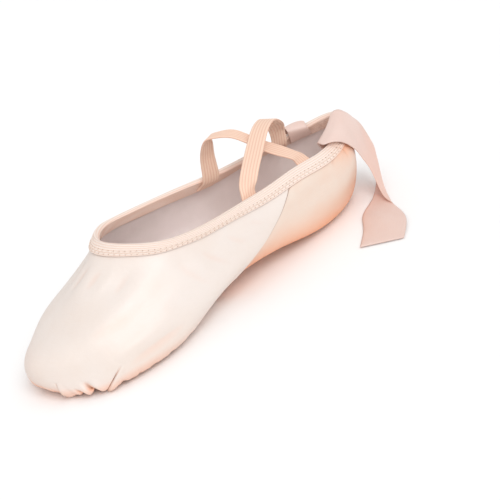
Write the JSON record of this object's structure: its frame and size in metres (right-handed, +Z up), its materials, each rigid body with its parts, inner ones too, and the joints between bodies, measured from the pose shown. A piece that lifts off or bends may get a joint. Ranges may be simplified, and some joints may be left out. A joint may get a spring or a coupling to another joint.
{
  "type": "demi-pointe ballet shoe",
  "caption": "Soft satin ballet shoe with a gathered toe, elastic-bound collar, crossed elastics, two satin ribbons and a split suede sole.",
  "frame": {"origin": "on the floor under the ball of the foot, in the middle of the forefoot pad", "axes": "+Z up, -Y towards the toe, +Y towards the heel, +X towards the side where the upper elastic starts nearer the toe"},
  "size_m": [0.1656, 0.257, 0.0733],
  "materials": {
    "satin": "pale peach-pink satin, softly glossy",
    "elastic": "ribbed peach elastic, matt",
    "lining": "grey-lilac cotton, matt",
    "suede": "tan split suede, matt",
    "ribbon": "pink satin ribbon, softly glossy"
  },
  "bodies": {
    "root": {"upper": "satin", "collar_binding": "elastic", "insole": "lining", "sole_forefoot": "suede", "sole_heel": "suede", "strap_over": "elastic", "strap_under": "elastic", "ribbon_near": "ribbon", "ribbon_far": "ribbon"}
  },
  "joints": []
}
